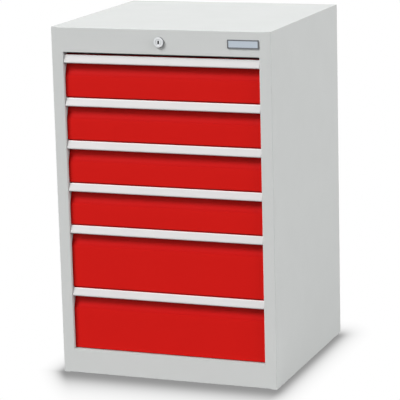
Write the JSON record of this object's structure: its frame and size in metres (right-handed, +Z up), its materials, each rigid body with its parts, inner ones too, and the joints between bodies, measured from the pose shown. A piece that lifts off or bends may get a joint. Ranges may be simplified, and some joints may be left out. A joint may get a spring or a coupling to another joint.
{
  "type": "workshop drawer cabinet",
  "caption": "Grey sheet-steel workshop cabinet with red drawers on telescopic runners, full-width handle strips and a central lock in the fascia.",
  "frame": {"origin": "centre of the carcass on the floor", "axes": "+Z up, -Y out of the drawer fronts, +X to the right seen from the front"},
  "size_m": [0.53, 0.5045, 0.82],
  "materials": {
    "body_grey": "powder coat",
    "front_red": "powder coat",
    "tray_grey": "powder coat",
    "handle_alloy": "satin anodised",
    "zinc_steel": "zinc plated",
    "lock_chrome": "polished",
    "plate_silver": "satin",
    "guide_plastic": "moulded"
  },
  "bodies": {
    "cabinet": {"left_side_panel": "body_grey", "right_side_panel": "body_grey", "top_panel": "body_grey", "base_panel": "body_grey", "back_panel": "body_grey", "left_front_upright": "zinc_steel", "left_rear_upright": "zinc_steel", "right_front_upright": "zinc_steel", "right_rear_upright": "zinc_steel", "name_plate": "plate_silver", "lock_housing": "lock_chrome", "lock_nut": "zinc_steel", "shaft_bracket": "zinc_steel", "lock_bar_guides": "guide_plastic", "drawer_1_slide_outer": "zinc_steel", "drawer_2_slide_outer": "zinc_steel", "drawer_3_slide_outer": "zinc_steel", "drawer_4_slide_outer": "zinc_steel", "drawer_5_slide_outer": "zinc_steel", "drawer_6_slide_outer": "zinc_steel"},
    "drawer_1": {"drawer_1_tray": "tray_grey", "drawer_1_front": "front_red", "drawer_1_handle": "handle_alloy", "drawer_1_slide_inner": "zinc_steel"},
    "drawer_2": {"drawer_2_tray": "tray_grey", "drawer_2_front": "front_red", "drawer_2_handle": "handle_alloy", "drawer_2_slide_inner": "zinc_steel"},
    "drawer_3": {"drawer_3_tray": "tray_grey", "drawer_3_front": "front_red", "drawer_3_handle": "handle_alloy", "drawer_3_slide_inner": "zinc_steel"},
    "drawer_4": {"drawer_4_tray": "tray_grey", "drawer_4_front": "front_red", "drawer_4_handle": "handle_alloy", "drawer_4_slide_inner": "zinc_steel"},
    "drawer_5": {"drawer_5_tray": "tray_grey", "drawer_5_front": "front_red", "drawer_5_handle": "handle_alloy", "drawer_5_slide_inner": "zinc_steel"},
    "drawer_6": {"drawer_6_tray": "tray_grey", "drawer_6_front": "front_red", "drawer_6_handle": "handle_alloy", "drawer_6_slide_inner": "zinc_steel"},
    "runner_1": {"drawer_1_slide_middle": "zinc_steel"},
    "runner_2": {"drawer_2_slide_middle": "zinc_steel"},
    "runner_3": {"drawer_3_slide_middle": "zinc_steel"},
    "runner_4": {"drawer_4_slide_middle": "zinc_steel"},
    "runner_5": {"drawer_5_slide_middle": "zinc_steel"},
    "runner_6": {"drawer_6_slide_middle": "zinc_steel"},
    "lock_cylinder": {"lock_plug": "lock_chrome", "lock_shaft": "zinc_steel"},
    "lock_rod": {"lock_bar": "zinc_steel", "upper_lock_fingers": "zinc_steel", "lower_lock_fingers": "zinc_steel"}
  },
  "joints": [
    {"name": "drawer_1_pull", "type": "slide", "parent": "cabinet", "child": "drawer_1", "axis": [0, -1, 0], "range_m": [0, 0.4]},
    {"name": "drawer_2_pull", "type": "slide", "parent": "cabinet", "child": "drawer_2", "axis": [0, -1, 0], "range_m": [0, 0.4]},
    {"name": "drawer_3_pull", "type": "slide", "parent": "cabinet", "child": "drawer_3", "axis": [0, -1, 0], "range_m": [0, 0.4]},
    {"name": "drawer_4_pull", "type": "slide", "parent": "cabinet", "child": "drawer_4", "axis": [0, -1, 0], "range_m": [0, 0.4]},
    {"name": "drawer_5_pull", "type": "slide", "parent": "cabinet", "child": "drawer_5", "axis": [0, -1, 0], "range_m": [0, 0.4]},
    {"name": "drawer_6_pull", "type": "slide", "parent": "cabinet", "child": "drawer_6", "axis": [0, -1, 0], "range_m": [0, 0.4]},
    {"name": "runner_1_follow", "type": "slide", "parent": "cabinet", "child": "runner_1", "axis": [0, -1, 0], "range_m": [0, 0.2]},
    {"name": "runner_2_follow", "type": "slide", "parent": "cabinet", "child": "runner_2", "axis": [0, -1, 0], "range_m": [0, 0.2]},
    {"name": "runner_3_follow", "type": "slide", "parent": "cabinet", "child": "runner_3", "axis": [0, -1, 0], "range_m": [0, 0.2]},
    {"name": "runner_4_follow", "type": "slide", "parent": "cabinet", "child": "runner_4", "axis": [0, -1, 0], "range_m": [0, 0.2]},
    {"name": "runner_5_follow", "type": "slide", "parent": "cabinet", "child": "runner_5", "axis": [0, -1, 0], "range_m": [0, 0.2]},
    {"name": "runner_6_follow", "type": "slide", "parent": "cabinet", "child": "runner_6", "axis": [0, -1, 0], "range_m": [0, 0.2]},
    {"name": "lock_rod_drop", "type": "slide", "parent": "cabinet", "child": "lock_rod", "axis": [0, 0, -1], "range_m": [0, 0.01131]},
    {"name": "lock_turn", "type": "hinge", "parent": "cabinet", "child": "lock_cylinder", "pos_m": [0, -0.25, 0.791], "axis": [0, 1, 0], "range_deg": [-1, 92]}
  ],
  "couplings": [
    {"joint": "runner_1_follow", "follows": "drawer_1_pull", "ratio": 0.5},
    {"joint": "runner_2_follow", "follows": "drawer_2_pull", "ratio": 0.5},
    {"joint": "runner_3_follow", "follows": "drawer_3_pull", "ratio": 0.5},
    {"joint": "runner_4_follow", "follows": "drawer_4_pull", "ratio": 0.5},
    {"joint": "runner_5_follow", "follows": "drawer_5_pull", "ratio": 0.5},
    {"joint": "runner_6_follow", "follows": "drawer_6_pull", "ratio": 0.5},
    {"joint": "lock_turn", "follows": "lock_rod_drop", "rad_per_m": 138.84}
  ]
}
